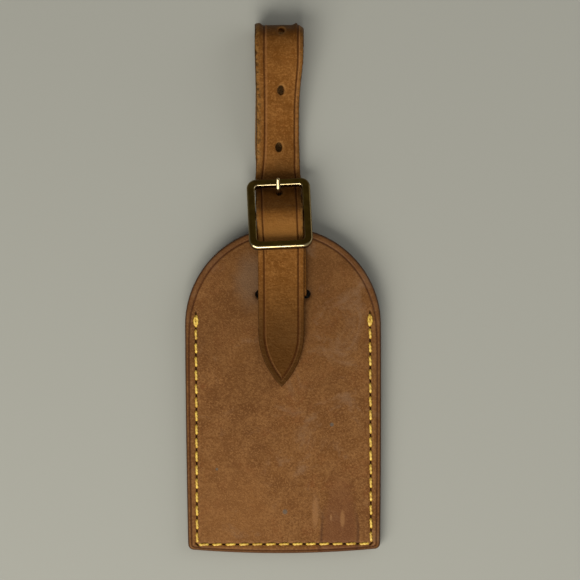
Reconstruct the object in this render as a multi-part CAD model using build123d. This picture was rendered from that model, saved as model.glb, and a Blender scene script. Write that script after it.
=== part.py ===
from build123d import *
import math
import os

# A leather luggage tag lying face up with its strap buckled into a loop.
# Millimetres. X is across the tag, Y runs from its bottom edge towards the loop, Z is up.
# The drawing frame has Y = 0 at the bottom edge; export moves everything so that the middle is at 0.

# Tag body
TAG_WIDTH = 60.0
TAG_LENGTH = 100.0
ARCH_RADIUS = TAG_WIDTH / 2
ARCH_CENTRE_Y = TAG_LENGTH - ARCH_RADIUS
BOTTOM_HALF_WIDTH = 29.4
BOTTOM_BULGE = 1.2
CORNER_RADIUS = 1.7
PANEL_THICKNESS = 1.9
TAG_THICKNESS = 2 * PANEL_THICKNESS
SLOT_CENTRE_Y = 79.5
SLOT_WIDTH = 17.0
SLOT_HEIGHT = 2.8
SLOT_LIFT = 1.9
TAG_TILT = math.degrees(math.atan(SLOT_LIFT / SLOT_CENTRE_Y))

# Pocket, window and card, in the tag's own plane
POCKET_DEPTH = 0.6
POCKET_HALF_WIDTH = 25.2
POCKET_BOTTOM_Y = 4.6
POCKET_FLOOR_Z = PANEL_THICKNESS - POCKET_DEPTH
WINDOW_SIZE = (42.0, 52.0)
WINDOW_CENTRE_Y = 38.0
WINDOW_CORNER = 3.0
SHEET_SIZE = (50.0, 62.0)
SHEET_THICKNESS = 0.25
CARD_SIZE = (49.0, 67.5)
CARD_BOTTOM_Y = 5.0
CARD_BOTTOM_Z = 1.58
CARD_THICKNESS = 0.28

# Border seam
SEAM_X = 26.65
SEAM_BOTTOM_Y = 2.9
SEAM_TOP_Y = 73.5
SIDE_STITCHES = 17
BOTTOM_STITCHES = 13
THREAD_RADIUS = 0.3
THREAD_BEND = 0.34
LEG_OFFSET = 0.35
STITCH_HOLE = (1.44, 0.74)
GROOVE_WIDTH = 0.9
FRONT_GROOVE = 0.3
BACK_GROOVE = 0.68

# Strap, a little off the tag's middle: corners and fillet radii of its middle line in the
# (Y, Z) plane, from the buckle to the tip
STRAP_WIDTH = 14.0
STRAP_X = -0.5
STRAP_THICKNESS = 1.5
STRAP_CORNERS = [
    (95.5, 7.32),
    (92.5, 7.06),
    (79.5, 6.75),
    (79.5, 0.75),
    (161.65, 0.75),
    (161.65, 10.25),
    (150.0, 10.25),
    (117.5, 2.30),
    (111.7, 2.30),
    (104.5, 10.15),
    (95.0, 9.30),
    (80.5, 8.45),
    (64.0, 6.20),
    (51.1, 5.88),
]
STRAP_RADII = [10.0, 1.25, 1.25, 4.7, 4.7, 30.0, 12.0, 2.0, 2.7, 12.0, 12.0, 12.0]
TIP_Y = 51.1
TIP_SHOULDER_Y = 67.7
HOLE_SIZE = (3.3, 2.3)
FIRST_HOLE_FROM_TIP = 59.6
HOLE_PITCH = 17.9
HOLE_COUNT = 4

# Thinned end of the strap, folded round the buckle's centre bar and stitched
SKIVED_THICKNESS = 0.9
SKIVED_CORNERS = [
    (93.8, 7.10),
    (97.4, 7.90),
    (104.86, 8.919),
    (104.86, 5.188),
    (100.7, 6.98),
    (97.4, 6.90),
]
SKIVED_RADII = [6.0, 1.385, 1.385, 2.0]
PRONG_SLIT = (3.2, 4.9)
PRONG_SLIT_CENTRE_Y = 103.7
END_STITCH_Y = 99.0
END_STITCH_XS = (-4.5, -1.5, 1.5, 4.5)
END_THREAD = 0.25
END_STITCH_BOTTOM = 6.22
END_STITCH_TOP = 8.84
END_STITCH_DEPTH = 0.4

# Buckle, in its own tilted plane: Y along the frame towards the loop, Z out of it
BUCKLE_CENTRE = (0.0, 103.85, 8.45)
BUCKLE_TILT = 19.0
FRAME_SIZE = (19.4, 22.4)
FRAME_OPENING = (14.5, 18.0)
FRAME_CORNER = 2.9
OPENING_CORNER = 1.1
FRAME_DEPTH = 2.5
FRAME_EDGE = 0.35
BAR_RADIUS = 0.9
BAR_DROP = 1.2
LUG_SIZE = (2.4, 2.6, 1.3)
PRONG_CORNERS = [(1.2, -1.5), (4.2, -2.2), (8.2, 1.85), (11.3, 1.85)]
PRONG_RADII = [2.2, 1.5]
PRONG_THICKNESS = 1.1
PRONG_WIDTH = 1.5
EYE_CLEARANCE = 0.05
EYE_RADIUS = 1.75
EYE_WIDTH = 2.6

LOOP_END_Y = STRAP_CORNERS[4][0] + STRAP_THICKNESS / 2
MIDDLE_Y = (LOOP_END_Y - TAG_THICKNESS * math.sin(math.radians(TAG_TILT))) / 2


def tilted(shape):
    """A piece drawn in the tag's plane, leaning on the strap that passes under it."""
    return Rot(TAG_TILT, 0, 0) * shape


def buckle_plane():
    lean = math.radians(BUCKLE_TILT)
    return Plane(BUCKLE_CENTRE, x_dir=(1, 0, 0), z_dir=(0, math.sin(lean), math.cos(lean)))


def moved_path(corners, radii, distance):
    """The corners and radii of a path moved to its left by a distance."""
    headings = []
    for (y0, z0), (y1, z1) in zip(corners, corners[1:]):
        length = math.hypot(y1 - y0, z1 - z0)
        headings.append(((y1 - y0) / length, (z1 - z0) / length))
    points = [(corners[0][0] - distance * headings[0][1], corners[0][1] + distance * headings[0][0])]
    moved_radii = []
    for corner, radius, before, after in zip(corners[1:], radii, headings, headings[1:]):
        share = distance / (1 + before[0] * after[0] + before[1] * after[1])
        points.append(
            (corner[0] - share * (before[1] + after[1]), corner[1] + share * (before[0] + after[0]))
        )
        turns_left = before[0] * after[1] - before[1] * after[0] > 0
        moved_radii.append(radius - distance if turns_left else radius + distance)
    end = corners[-1]
    points.append((end[0] - distance * headings[-1][1], end[1] + distance * headings[-1][0]))
    return points, moved_radii


def ribbon(corners, radii, thickness, width):
    """A strip of even thickness that follows a path in the (Y, Z) plane."""
    left, left_radii = moved_path(corners, radii, thickness / 2)
    right, right_radii = moved_path(corners, radii, -thickness / 2)
    with BuildSketch(Plane.YZ) as section:
        with BuildLine():
            FilletPolyline(*left, radius=left_radii)
            FilletPolyline(*right, radius=right_radii)
            Line(left[0], right[0])
            Line(left[-1], right[-1])
        make_face()
    return extrude(section.sketch, amount=width / 2, both=True)


def tag_outline():
    """Flat outline of both panels: arch, slightly tapering sides, bulging bottom edge."""
    side_y = BOTTOM_BULGE + CORNER_RADIUS
    corner_x = BOTTOM_HALF_WIDTH - CORNER_RADIUS
    middle_x = ARCH_RADIUS - (ARCH_RADIUS - BOTTOM_HALF_WIDTH) / 4
    middle_y = (ARCH_CENTRE_Y + side_y) / 2
    bend = CORNER_RADIUS * math.sqrt(0.5)
    with BuildSketch() as sketch:
        with BuildLine():
            ThreePointArc((-ARCH_RADIUS, ARCH_CENTRE_Y), (0, TAG_LENGTH), (ARCH_RADIUS, ARCH_CENTRE_Y))
            for sign in (-1, 1):
                ThreePointArc(
                    (sign * ARCH_RADIUS, ARCH_CENTRE_Y),
                    (sign * middle_x, middle_y),
                    (sign * BOTTOM_HALF_WIDTH, side_y),
                )
                ThreePointArc(
                    (sign * BOTTOM_HALF_WIDTH, side_y),
                    (sign * (corner_x + bend), side_y - bend),
                    (sign * corner_x, BOTTOM_BULGE),
                )
            ThreePointArc((-corner_x, BOTTOM_BULGE), (0, 0), (corner_x, BOTTOM_BULGE))
        make_face()
    return sketch.sketch


def box_between(low, high):
    size = [high[i] - low[i] for i in range(3)]
    return Pos(*low) * Box(*size, align=(Align.MIN, Align.MIN, Align.MIN))


def seam_points():
    """Stitch holes down the left side, along the bottom and up the right side."""
    step = (SEAM_TOP_Y - SEAM_BOTTOM_Y) / SIDE_STITCHES
    left = [(-SEAM_X, SEAM_TOP_Y - step * i) for i in range(SIDE_STITCHES + 1)]
    pitch = 2 * SEAM_X / BOTTOM_STITCHES
    bottom = [(-SEAM_X + pitch * i, SEAM_BOTTOM_Y) for i in range(1, BOTTOM_STITCHES)]
    right = [(-x, y) for x, y in reversed(left)]
    return left + bottom + right


def seam_holes():
    """An oval hole at each end of every stitch, in line with it; a corner hole is two crossed ovals."""
    points = seam_points()
    holes = {}
    for (x0, y0), (x1, y1) in zip(points, points[1:]):
        angle = round(math.degrees(math.atan2(y1 - y0, x1 - x0)) % 180, 3)
        for x, y in ((x0, y0), (x1, y1)):
            with BuildSketch() as hole:
                SlotOverall(*STITCH_HOLE)
            prism = extrude(hole.sketch, amount=TAG_THICKNESS + 2)
            holes[(round(x, 6), round(y, 6), angle)] = Pos(x, y, -1) * Rot(0, 0, angle) * prism
    return list(holes.values())


def seam_groove(low_z, high_z):
    half = GROOVE_WIDTH / 2
    top = SEAM_TOP_Y + STITCH_HOLE[0] / 2
    low = (-SEAM_X - half, SEAM_BOTTOM_Y - half, low_z)
    cuts = [box_between(low, (SEAM_X + half, SEAM_BOTTOM_Y + half, high_z))]
    for x in (-SEAM_X, SEAM_X):
        cuts.append(box_between((x - half, SEAM_BOTTOM_Y - half, low_z), (x + half, top, high_z)))
    return cuts


def strap_slot():
    with BuildSketch() as slot:
        SlotOverall(SLOT_WIDTH, SLOT_HEIGHT)
    return Pos(0, SLOT_CENTRE_Y, -1) * extrude(slot.sketch, amount=TAG_THICKNESS + 2)


def front_panel():
    panel = Pos(0, 0, PANEL_THICKNESS) * extrude(tag_outline(), amount=PANEL_THICKNESS)
    panel = panel - strap_slot()
    for cut in seam_groove(TAG_THICKNESS - FRONT_GROOVE, TAG_THICKNESS + 1) + seam_holes():
        panel = panel - cut
    return tilted(panel)


def back_panel():
    panel = extrude(tag_outline(), amount=PANEL_THICKNESS) - strap_slot()
    panel = panel - box_between(
        (-POCKET_HALF_WIDTH, POCKET_BOTTOM_Y, POCKET_FLOOR_Z),
        (POCKET_HALF_WIDTH, TAG_LENGTH + 1, PANEL_THICKNESS + 1),
    )
    with BuildSketch() as window:
        RectangleRounded(*WINDOW_SIZE, WINDOW_CORNER)
    panel = panel - Pos(0, WINDOW_CENTRE_Y, -1) * extrude(window.sketch, amount=TAG_THICKNESS)
    for cut in seam_groove(-1, BACK_GROOVE) + seam_holes():
        panel = panel - cut
    return tilted(panel)


def window_sheet():
    sheet = Box(*SHEET_SIZE, SHEET_THICKNESS, align=(Align.CENTER, Align.CENTER, Align.MIN))
    return tilted(Pos(0, WINDOW_CENTRE_Y, POCKET_FLOOR_Z) * sheet)


def name_card():
    card = Box(*CARD_SIZE, CARD_THICKNESS, align=(Align.CENTER, Align.MIN, Align.MIN))
    return tilted(Pos(0, CARD_BOTTOM_Y, CARD_BOTTOM_Z) * card)


def staple(length, face_z, middle_z):
    """One stitch: thread lying on a face, both ends going down to the middle of the leather."""
    outward = 1 if face_z > middle_z else -1
    crown_z = face_z + outward * THREAD_BEND
    foot_z = middle_z + outward * 0.08
    half = length / 2
    with BuildLine(Plane.XZ) as path:
        FilletPolyline(
            (-half, foot_z),
            (-half, crown_z),
            (half, crown_z),
            (half, foot_z),
            radius=THREAD_BEND,
        )
    with BuildSketch(Plane((-half, 0, foot_z), z_dir=(0, 0, outward))) as section:
        Circle(THREAD_RADIUS)
    return sweep(section.sketch, path=path.wire())


def seam_thread(face_z):
    """All the stitches on one side of the border seam."""
    points = seam_points()
    stitches = []
    for (x0, y0), (x1, y1) in zip(points, points[1:]):
        length = math.hypot(x1 - x0, y1 - y0) - 2 * LEG_OFFSET
        angle = math.degrees(math.atan2(y1 - y0, x1 - x0))
        stitch = staple(length, face_z, PANEL_THICKNESS)
        stitches.append(tilted(Pos((x0 + x1) / 2, (y0 + y1) / 2, 0) * Rot(0, 0, angle) * stitch))
    return stitches


def strap_centre_line():
    with BuildLine(Plane.YZ) as path:
        FilletPolyline(*STRAP_CORNERS, radius=STRAP_RADII)
    return path.wire()


def strap_holes():
    """Adjusting holes, punched square to the strap wherever it goes."""
    path = strap_centre_line()
    holes = []
    for i in range(HOLE_COUNT):
        from_start = path.length - FIRST_HOLE_FROM_TIP - HOLE_PITCH * i
        along = path.tangent_at(from_start, position_mode=PositionMode.LENGTH)
        point = path.position_at(from_start, position_mode=PositionMode.LENGTH)
        plane = Plane(point, x_dir=along, z_dir=along.cross(Vector(1, 0, 0)))
        with BuildSketch(plane) as hole:
            SlotOverall(*HOLE_SIZE)
        holes.append(extrude(hole.sketch, amount=STRAP_THICKNESS * 0.8, both=True))
    return holes


def strap_tip():
    """Everything beside the pointed end, to be cut away."""
    half = STRAP_WIDTH / 2
    length = TIP_SHOULDER_Y - TIP_Y
    radius = (half**2 + length**2) / (2 * half)
    turn = math.asin(length / radius) / 2
    bulge_x = half - radius * (1 - math.cos(turn))
    bulge_y = TIP_SHOULDER_Y - radius * math.sin(turn)
    cuts = []
    for sign in (-1, 1):
        with BuildSketch() as side:
            with BuildLine():
                ThreePointArc((sign * half, TIP_SHOULDER_Y), (sign * bulge_x, bulge_y), (0, TIP_Y))
                Polyline(
                    (0, TIP_Y),
                    (0, TIP_Y - 2),
                    (sign * (half + 2), TIP_Y - 2),
                    (sign * (half + 2), TIP_SHOULDER_Y),
                    (sign * half, TIP_SHOULDER_Y),
                )
            make_face()
        cuts.append(extrude(side.sketch, amount=20))
    return cuts


def end_stitch_holes():
    holes = []
    for x in END_STITCH_XS:
        low = (x - 0.38, END_STITCH_Y - 0.25, END_STITCH_BOTTOM - 0.1)
        high = (x + 0.38, END_STITCH_Y + 0.25, END_STITCH_TOP)
        holes.append(box_between(low, high))
    return holes


def strap():
    strip = ribbon(STRAP_CORNERS, STRAP_RADII, STRAP_THICKNESS, STRAP_WIDTH)
    for cut in strap_holes() + strap_tip():
        strip = strip - cut
    fold = ribbon(SKIVED_CORNERS, SKIVED_RADII, SKIVED_THICKNESS, STRAP_WIDTH)
    fold = fold - Pos(0, PRONG_SLIT_CENTRE_Y, BUCKLE_CENTRE[2]) * Box(*PRONG_SLIT, 10)
    for hole in end_stitch_holes():
        fold = fold - hole
    return strip + fold


def strap_end_stitching():
    """Loops of thread through both layers of the fold."""
    loops = []
    for x0, x1 in zip(END_STITCH_XS, END_STITCH_XS[1:]):
        low = (x0 + 0.08, END_STITCH_Y - END_STITCH_DEPTH / 2, END_STITCH_BOTTOM)
        high = (x1 - 0.08, END_STITCH_Y + END_STITCH_DEPTH / 2, END_STITCH_TOP)
        inner_low = (low[0] + END_THREAD, low[1] - 1, low[2] + END_THREAD)
        inner_high = (high[0] - END_THREAD, high[1] + 1, high[2] - END_THREAD)
        loops.append(box_between(low, high) - box_between(inner_low, inner_high))
    return loops


def buckle_frame():
    plane = buckle_plane()
    with BuildSketch() as face:
        RectangleRounded(*FRAME_SIZE, FRAME_CORNER)
        RectangleRounded(*FRAME_OPENING, OPENING_CORNER, mode=Mode.SUBTRACT)
    body = extrude(face.sketch, amount=FRAME_DEPTH / 2, both=True)
    body = fillet(body.edges().filter_by(Axis.Z, reverse=True), FRAME_EDGE)
    middle_x = (FRAME_SIZE[0] + FRAME_OPENING[0]) / 4
    for sign in (-1, 1):
        body = body + Pos(sign * middle_x, 0, -FRAME_DEPTH / 2 - LUG_SIZE[2] / 2 + 0.5) * Box(*LUG_SIZE)
    bar = Pos(0, 0, -BAR_DROP) * Rot(0, 90, 0) * Cylinder(BAR_RADIUS, 2 * middle_x)
    return plane.location * (body + bar)


def prong():
    plane = buckle_plane()
    eye = Rot(0, 90, 0) * Cylinder(EYE_RADIUS, EYE_WIDTH)
    shank = ribbon(PRONG_CORNERS, PRONG_RADII, PRONG_THICKNESS, PRONG_WIDTH)
    body = Pos(0, 0, -BAR_DROP) * eye + shank
    body = body - Pos(0, 0, -BAR_DROP) * Rot(0, 90, 0) * Cylinder(BAR_RADIUS + EYE_CLEARANCE, EYE_WIDTH + 2)
    return plane.location * body


def save(name, shape, x=0.0):
    solids = shape if isinstance(shape, list) else list(shape.solids())
    placed = [Pos(x, -MIDDLE_Y, 0) * solid for solid in solids]
    whole = placed[0] if len(placed) == 1 else Compound(children=placed)
    export_step(whole, f"parts/{name}.step")


os.makedirs("parts", exist_ok=True)
save("front_panel", front_panel())
save("back_panel", back_panel())
save("window_sheet", window_sheet())
save("name_card", name_card())
save("front_seam_thread", seam_thread(TAG_THICKNESS - FRONT_GROOVE))
save("back_seam_thread", seam_thread(BACK_GROOVE))
save("strap", strap(), STRAP_X)
save("strap_end_stitching", strap_end_stitching(), STRAP_X)
save("buckle_frame", buckle_frame(), STRAP_X)
save("prong", prong(), STRAP_X)
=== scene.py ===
import math

import bpy
import numpy as np
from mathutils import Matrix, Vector


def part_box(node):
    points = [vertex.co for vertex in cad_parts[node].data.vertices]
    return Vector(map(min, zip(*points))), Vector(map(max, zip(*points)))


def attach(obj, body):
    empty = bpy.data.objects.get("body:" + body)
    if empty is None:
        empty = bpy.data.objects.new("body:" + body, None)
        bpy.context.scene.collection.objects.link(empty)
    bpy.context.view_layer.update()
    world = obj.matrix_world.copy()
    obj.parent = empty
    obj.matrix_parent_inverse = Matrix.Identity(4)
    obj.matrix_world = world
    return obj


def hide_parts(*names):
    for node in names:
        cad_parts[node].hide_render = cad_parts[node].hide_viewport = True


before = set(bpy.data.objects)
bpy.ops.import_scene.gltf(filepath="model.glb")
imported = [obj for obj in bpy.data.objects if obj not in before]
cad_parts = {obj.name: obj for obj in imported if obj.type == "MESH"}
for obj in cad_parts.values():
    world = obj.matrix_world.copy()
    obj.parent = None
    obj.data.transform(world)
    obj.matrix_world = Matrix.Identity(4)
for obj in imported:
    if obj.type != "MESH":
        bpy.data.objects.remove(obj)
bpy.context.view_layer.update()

# The visual model of a leather luggage tag on a buckled strap.
# Shapes are drawn in millimetres, with Y = 0 at the tag's bottom edge, and placed in the frame in metres.

MM = 0.001
STRAP_LOW, STRAP_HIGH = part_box("strap")
LOOP_END_Y = 162.4
SHIFT_Y = LOOP_END_Y - STRAP_HIGH.y / MM
STRAP_X = (STRAP_LOW.x + STRAP_HIGH.x) / 2 / MM

# Tag body, as in the CAD
TAG_HALF_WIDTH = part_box("front_panel")[1].x / MM
TAG_LENGTH = 100.0
ARCH_CENTRE_Y = TAG_LENGTH - TAG_HALF_WIDTH
SIDE_TAPER = 0.6
BOTTOM_BULGE = 1.2
CORNER_RADIUS = 1.7
PANEL_THICKNESS = 1.9
TAG_THICKNESS = 2 * PANEL_THICKNESS
SLOT_CENTRE_Y = 79.5
SLOT_HALF_WIDTH = 8.5
SLOT_HALF_HEIGHT = 1.4
SLOT_LIFT = 1.9
TILT = math.atan(SLOT_LIFT / SLOT_CENTRE_Y)

# Pocket and window, as in the CAD
POCKET_DEPTH = 0.6
POCKET_HALF_WIDTH = 25.2
POCKET_BOTTOM_Y = 4.6
WINDOW_HALF = (21.0, 26.0)
WINDOW_CENTRE_Y = 38.0
WINDOW_CORNER = 3.0

# Border seam
SEAM_X = 26.65
SEAM_BOTTOM_Y = 2.9
SEAM_TOP_Y = 73.5
SIDE_STITCHES = 17
BOTTOM_STITCHES = 13
STITCH_WIDTH = 0.74
STITCH_HEIGHT = 0.56
PLY_LENGTH = 1.05
FRONT_THREAD_Z = TAG_THICKNESS - 0.2
BACK_THREAD_Z = 0.55
FLATTENED = np.array((0, 1.6, 0))

# Strap: corners and fillet radii of its middle line, from the stitched end to the tip
STRAP_CORNERS = [
    (97.4, 6.90),
    (100.7, 6.98),
    (104.86, 5.188),
    (104.86, 8.919),
    (97.4, 7.90),
    (92.5, 7.06),
    (79.5, 6.75),
    (79.5, 0.75),
    (161.65, 0.75),
    (161.65, 10.25),
    (150.0, 10.25),
    (117.5, 2.30),
    (111.7, 2.30),
    (104.5, 10.15),
    (95.0, 9.30),
    (80.5, 8.45),
    (64.0, 6.20),
    (51.1, 5.88),
]
STRAP_RADII = [2.0, 1.385, 1.385, 6.0, 10.0, 1.25, 1.25, 4.7, 4.7, 30.0, 12.0, 2.0, 2.7, 12.0, 12.0, 12.0]
STRAP_STEP = 0.42
STRAP_HALF_WIDTH = 7.0
STRAP_THICKNESS = 1.5
SKIVED_THICKNESS = 0.9
TIP_LENGTH = 16.6
STRAP_CREASE = 1.8
HOLE_HALF = (1.55, 1.15)
PRONG_HOLE_HALF = (1.75, 1.15)
HOLES_FROM_TIP = (62.0, 77.0, 94.8, 113.3)
HOLES_ASIDE = (0.15, 0.3, 0.75, 0.6)
BAR_CENTRE = (103.46, 7.315)
FOLD_RADIUS = 1.87
SLIT_WIDTH = 3.2
END_STITCH_Y = 99.0
END_STITCH_XS = (-4.5, -1.5, 1.5, 4.5)
END_STITCH_SPAN = (6.33, 8.73)

# How far the strap's middle strays from the tag's middle line, as (Y, X) for each run
FREE_RUN_X = [
    (51.0, -0.5),
    (94.0, -0.48),
    (113.0, -1.25),
    (126.0, -1.4),
    (139.0, -1.25),
    (150.0, -0.75),
    (162.0, -0.65),
]
LOWER_RUN_X = [(79.5, 0.1), (100.0, 0.0), (124.0, -1.7), (146.0, -1.3), (162.0, -0.65)]
FIXED_RUN_X = [(79.5, 0.25), (92.0, 0.25), (97.0, -0.4), (105.0, -0.7)]

# Buckle, in its own leaning plane, and turned a little on the strap
BUCKLE_CENTRE = (STRAP_X - 0.35, 103.85, 8.45)
BUCKLE_LEAN = math.radians(19.0)
BUCKLE_TURN = math.radians(2.4)
FRAME_HALF = (9.7, 11.2)
OPENING_HALF = (7.25, 9.0)
FRAME_CORNER = 2.9
OPENING_CORNER = 1.1
FRAME_DEPTH = 2.5
BAR_RADIUS = 0.9
BAR_DROP = 1.2
PRONG_CORNERS = [
    (1.35, -1.75),
    (1.35, 0.15),
    (-1.35, 0.15),
    (-1.35, -2.6),
    (7.0, -3.4),
    (7.7, 1.0),
    (10.6, 3.35),
]
PRONG_RADII = [1.35, 1.35, 1.35, 1.3, 2.4]


def place(points):
    """Drawing millimetres to frame metres."""
    return (np.asarray(points, float) - np.array((0, SHIFT_Y, 0))) * MM


def place_on_tag(points):
    """Points drawn in the tag's own plane, leaned back on the strap under it."""
    p = np.asarray(points, float)
    leaned = np.empty_like(p)
    leaned[..., 0] = p[..., 0]
    leaned[..., 1] = p[..., 1] * math.cos(TILT) - p[..., 2] * math.sin(TILT)
    leaned[..., 2] = p[..., 1] * math.sin(TILT) + p[..., 2] * math.cos(TILT)
    return place(leaned)


def bell(distance, width):
    return np.exp(-((distance / width) ** 2))


def ramp(value, low, high):
    t = np.clip((value - low) / (high - low), 0, 1)
    return t * t * (3 - 2 * t)


def wander(x, y, size, seed):
    """A smooth wandering value from -1 to 1 with features of about a given size."""
    rng = np.random.default_rng(seed)
    total = 0
    for _ in range(6):
        angle = rng.uniform(0, math.tau)
        wave = math.tau / (size * rng.uniform(1.2, 3.2))
        total = total + np.sin(wave * (x * math.cos(angle) + y * math.sin(angle)) + rng.uniform(0, math.tau))
    return total / 4


def rounded(depth_in, radius):
    """How far a rounded edge has fallen away at a distance in from the side."""
    inside = np.clip(radius - depth_in, 0, radius)
    return radius - np.sqrt(np.maximum(radius**2 - inside**2, 0))


def link(name, data):
    obj = bpy.data.objects.new(name, data)
    bpy.context.scene.collection.objects.link(obj)
    return obj


def ring_faces(rows, across, first, is_loop):
    """Faces between neighbouring rings of points, capped at both ends unless the rings close into a loop."""
    index = first + np.arange(rows * across).reshape(rows, across)
    if is_loop:
        index = np.vstack([index, index[:1]])
    after = np.roll(index, -1, axis=1)
    quads = np.stack([index[:-1], after[:-1], after[1:], index[1:]], axis=-1).reshape(-1, 4)
    caps = [] if is_loop else [index[0][::-1].tolist(), index[-1].tolist()]
    return quads.tolist() + caps


def skins(name, parts, masks=None):
    """Closed skins in one object; each part is its rings and whether they close into a loop."""
    vertices, faces = [], []
    for rings, is_loop in parts:
        faces += ring_faces(*rings.shape[:2], len(vertices), is_loop)
        vertices += rings.reshape(-1, 3).tolist()
    mesh = bpy.data.meshes.new(name)
    mesh.from_pydata(vertices, [], faces)
    for label, values in (masks or {}).items():
        layer = mesh.attributes.new(label, "FLOAT", "POINT")
        layer.data.foreach_set("value", np.ascontiguousarray(values, dtype=np.float32).ravel())
    mesh.validate()
    mesh.shade_smooth()
    return outward(link(name, mesh))


def skin(name, rings, masks=None):
    """A closed skin over rings of points, with a value of each mask at each point."""
    return skins(name, [(rings, False)], masks)


def outward(obj):
    """Turns a closed skin's faces outwards if they all point in."""
    mesh = obj.data
    mesh.calc_loop_triangles()
    volume = 0.0
    for tri in mesh.loop_triangles:
        a, b, c = (mesh.vertices[i].co for i in tri.vertices)
        volume += a.dot(b.cross(c))
    if volume < 0:
        mesh.flip_normals()
    return obj


def prism(name, outline, low, high, to_frame):
    """A straight cutter over a flat outline."""
    bottom = np.array([(x, y, low) for x, y in outline])
    top = np.array([(x, y, high) for x, y in outline])
    return skin(name, np.stack([to_frame(bottom), to_frame(top)]))


def cut(obj, *cutters):
    """Cuts holes in a piece and keeps its point masks."""
    for cutter in cutters:
        modifier = obj.modifiers.new("cut", "BOOLEAN")
        modifier.operation = "DIFFERENCE"
        modifier.solver = "EXACT"
        modifier.object = cutter
    graph = bpy.context.evaluated_depsgraph_get()
    evaluated = obj.evaluated_get(graph)
    mesh = bpy.data.meshes.new_from_object(evaluated, preserve_all_data_layers=True, depsgraph=graph)
    obj.modifiers.clear()
    obj.data = mesh
    for cutter in cutters:
        bpy.data.objects.remove(cutter)
    mesh.shade_smooth()
    return obj


def finish_edges(obj, degrees=38):
    obj.data.set_sharp_from_angle(angle=math.radians(degrees))
    return obj


# -------- tag body


def tag_half_width(y):
    below = np.clip((ARCH_CENTRE_Y - y) / ARCH_CENTRE_Y, 0, 1)
    return TAG_HALF_WIDTH - SIDE_TAPER * below**2


def tag_ring(inset):
    """The tag's outline moved inwards, always with the same number of points."""
    arch_count, side_count, corner_count, bottom_count = 190, 232, 9, 184
    corner = max(CORNER_RADIUS - inset, 0.02)
    corner_y = BOTTOM_BULGE + inset + corner
    corner_x = tag_half_width(0) - inset - corner
    corner_x = max(corner_x, 0.15)
    points = []
    for i in range(arch_count):
        angle = math.pi * i / arch_count
        radius = TAG_HALF_WIDTH - inset
        points.append((radius * math.cos(angle), ARCH_CENTRE_Y + radius * math.sin(angle)))
    left = []
    for i in range(side_count):
        y = ARCH_CENTRE_Y + (corner_y - ARCH_CENTRE_Y) * i / side_count
        left.append((-(tag_half_width(y) - inset), y))
    for i in range(corner_count):
        angle = math.pi + math.pi / 2 * i / corner_count
        left.append((-corner_x + corner * math.cos(angle), corner_y + corner * math.sin(angle)))
    points += left
    bulge = BOTTOM_BULGE * max(0.0, 1 - inset / 25)
    for i in range(bottom_count + 1):
        t = 2 * i / bottom_count - 1
        points.append((t * corner_x, BOTTOM_BULGE + inset - bulge * (1 - t * t)))
    points += [(-x, y) for x, y in reversed(left[1:])]
    return np.array(points)


def seam_points():
    step = (SEAM_TOP_Y - SEAM_BOTTOM_Y) / SIDE_STITCHES
    left = [(-SEAM_X, SEAM_TOP_Y - step * i) for i in range(SIDE_STITCHES + 1)]
    pitch = 2 * SEAM_X / BOTTOM_STITCHES
    bottom = [(-SEAM_X + pitch * i, SEAM_BOTTOM_Y) for i in range(1, BOTTOM_STITCHES)]
    right = [(-x, y) for x, y in reversed(left)]
    return left + bottom + right


def seam_distance(x, y):
    """Distance from the line of stitches."""
    side = np.hypot(np.abs(x) - SEAM_X, y - np.clip(y, SEAM_BOTTOM_Y, SEAM_TOP_Y))
    bottom = np.hypot(x - np.clip(x, -SEAM_X, SEAM_X), y - SEAM_BOTTOM_Y)
    return np.minimum(side, bottom)


def stitch_pits(x, y):
    """1 in each stitch hole, falling to 0 around it."""
    points = seam_points()
    pits = np.zeros_like(x)
    for i, (px, py) in enumerate(points):
        ahead = points[min(i + 1, len(points) - 1)]
        behind = points[max(i - 1, 0)]
        angle = math.atan2(ahead[1] - behind[1], ahead[0] - behind[0])
        along = (x - px) * math.cos(angle) + (y - py) * math.sin(angle)
        aside = -(x - px) * math.sin(angle) + (y - py) * math.cos(angle)
        pits = np.maximum(pits, np.exp(-((along / 0.8) ** 4) - (aside / 0.2) ** 4))
    return pits


def slot_distance(x, y):
    """Distance outwards from the rim of the strap slot, negative inside it."""
    straight = SLOT_HALF_WIDTH - SLOT_HALF_HEIGHT
    return np.hypot(x - np.clip(x, -straight, straight), y - SLOT_CENTRE_Y) - SLOT_HALF_HEIGHT


def crease_inset(x, y):
    """How far in from the edge the creased line runs: widest round the arch, least at the bottom."""
    up = ramp(y, 62.0, 82.0)
    at_bottom = ramp(-y, -3.5, -1.6) * (np.abs(x) < SEAM_X + 1)
    return 1.15 + 0.85 * up - 0.3 * at_bottom


def face_relief(x, y, inset):
    """Height and masks of an outer face: rounded edge, crease, seam, slot rim and a slight unevenness."""
    crease = bell(inset - crease_inset(x, y), 0.27)
    pits = stitch_pits(x, y)
    channel = bell(seam_distance(x, y), 0.62)
    rim = np.exp(-np.clip(slot_distance(x, y), 0, 9) / 0.45)
    height = -rounded(inset, 0.85) - 0.26 * crease - 0.6 * pits - 0.2 * channel - 0.3 * rim
    height = height + 0.09 * wander(x, y, 16.0, 3) * ramp(inset, 0, 5) + 0.02 * wander(x, y, 2.2, 4)
    masks = {
        "crease": crease,
        # Painted shade in the stitch holes, and a little along the seam next to them.
        "pit": np.clip(pits + 0.35 * bell(seam_distance(x, y), 0.4) * (pits > 0.02), 0, 1),
        "edge": np.clip(1 - inset / 0.75, 0, 1),
        "rim": rim,
        "band": np.clip((crease_inset(x, y) - inset) / 0.4, 0, 1) * (0.4 + 0.6 * ramp(y, 40.0, 85.0)),
    }
    return height, masks


def stretch(start, stop, step):
    return np.arange(start, stop, step).tolist()


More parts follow.
